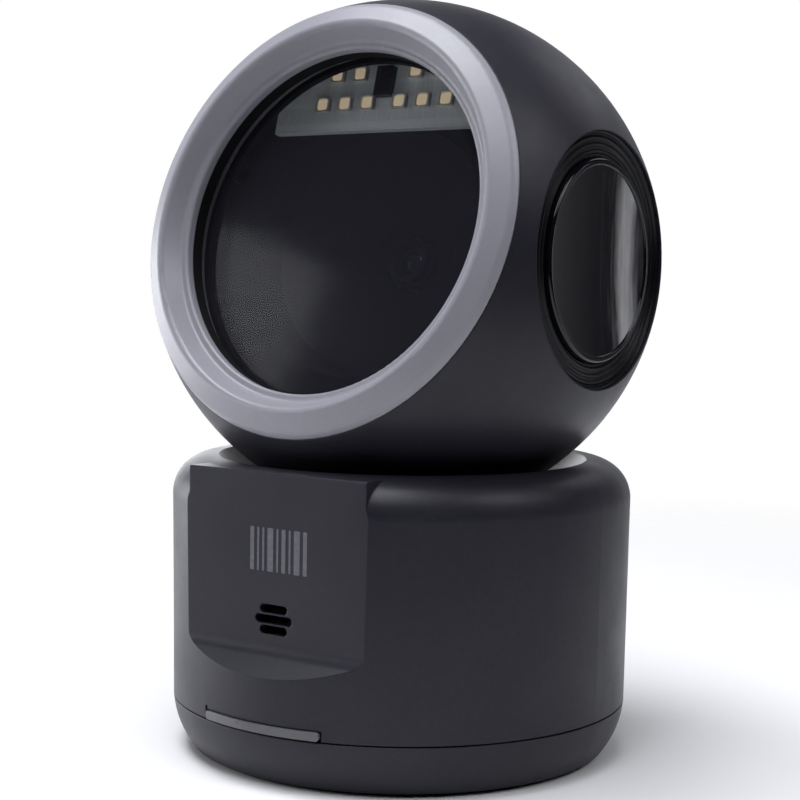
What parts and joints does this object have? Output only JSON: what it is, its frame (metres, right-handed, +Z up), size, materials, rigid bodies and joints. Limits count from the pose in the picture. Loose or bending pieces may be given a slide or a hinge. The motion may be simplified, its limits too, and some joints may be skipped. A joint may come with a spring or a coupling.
{
  "type": "presentation barcode scanner",
  "caption": "Hands-free barcode scanner: a ball-shaped head with a round tinted window and a pale bezel ring tilts in the dished top of a short round base.",
  "frame": {"origin": "centre of the foot ring's underside, on the surface that the scanner stands on", "axes": "+Z up, -Y towards the side that the window and the front panel face, +X to the right of someone who faces the window"},
  "size_m": [0.0908, 0.0957, 0.1467],
  "materials": {
    "charcoal_shell": "fine satin texture",
    "light_bezel": "fine matte texture",
    "gloss_black": "polished",
    "trim_black": "ridged, semi-matte",
    "tinted_window": "polished, dark tint",
    "black_plastic": "moulded",
    "connector_white": "moulded",
    "rubber_foot": "matte",
    "soft_seal": "matte foam",
    "light_pipe": "frosted",
    "plain_steel": "zinc plated",
    "acetal_white": "satin",
    "friction_fibre": "fibrous",
    "board_green": "solder mask",
    "board_pale": "white solder mask",
    "chip_black": "moulded epoxy",
    "lamp_amber": "clear cap over phosphor",
    "lamp_white": "clear cap",
    "sensor_black": "smooth",
    "lens_glass": "polished, coated",
    "contact_gold": "gold plated",
    "cable_sleeve": "satin sleeve",
    "ribbon_film": "film"
  },
  "bodies": {
    "base": {"ballast_plate": "plain_steel", "base_board": "board_green", "base_board_screws": "plain_steel", "base_chips": "chip_black", "base_housing": "charcoal_shell", "base_pan": "charcoal_shell", "base_spacers": "plain_steel", "beeper": "black_plastic", "beeper_gasket": "soft_seal", "foot_ring": "rubber_foot", "friction_washer_left": "friction_fibre", "friction_washer_right": "friction_fibre", "interface_socket": "black_plastic", "light_bar": "light_pipe", "neck_cable": "cable_sleeve", "neck_cable_plug": "connector_white", "neck_screws": "plain_steel", "pan_screws": "plain_steel", "pivot_bush_left": "acetal_white", "pivot_bush_right": "acetal_white", "socket_contacts": "contact_gold", "status_leds": "lamp_white", "tilt_neck": "black_plastic", "tilt_yoke": "black_plastic", "yoke_screws": "plain_steel"},
    "head": {"head_shell": "charcoal_shell", "rear_shell": "charcoal_shell", "bezel_ring": "light_bezel", "scan_window": "tinted_window", "window_gasket": "soft_seal", "optical_chamber": "black_plastic", "illumination_board": "board_pale", "illumination_leds": "lamp_amber", "proximity_sensor": "sensor_black", "camera_board": "board_green", "lens_holder": "black_plastic", "lens_barrel": "black_plastic", "lens_element": "lens_glass", "image_sensor": "chip_black", "decoder_board": "board_green", "decoder_chips": "chip_black", "ribbon_cable": "ribbon_film", "ribbon_connectors": "connector_white", "head_cable": "cable_sleeve", "head_cable_plug": "connector_white", "bezel_screws": "plain_steel", "camera_screws": "plain_steel", "decoder_screws": "plain_steel", "shell_screws": "plain_steel", "side_trim_left": "trim_black", "side_trim_right": "trim_black", "side_cap_left": "gloss_black", "side_cap_right": "gloss_black", "pivot_pin_left": "plain_steel", "pivot_pin_right": "plain_steel"}
  },
  "joints": [
    {"name": "head_tilt", "type": "hinge", "parent": "base", "child": "head", "pos_m": [0, 0, 0.0964], "axis": [-1, 0, 0], "range_deg": [-15, 15]}
  ]
}
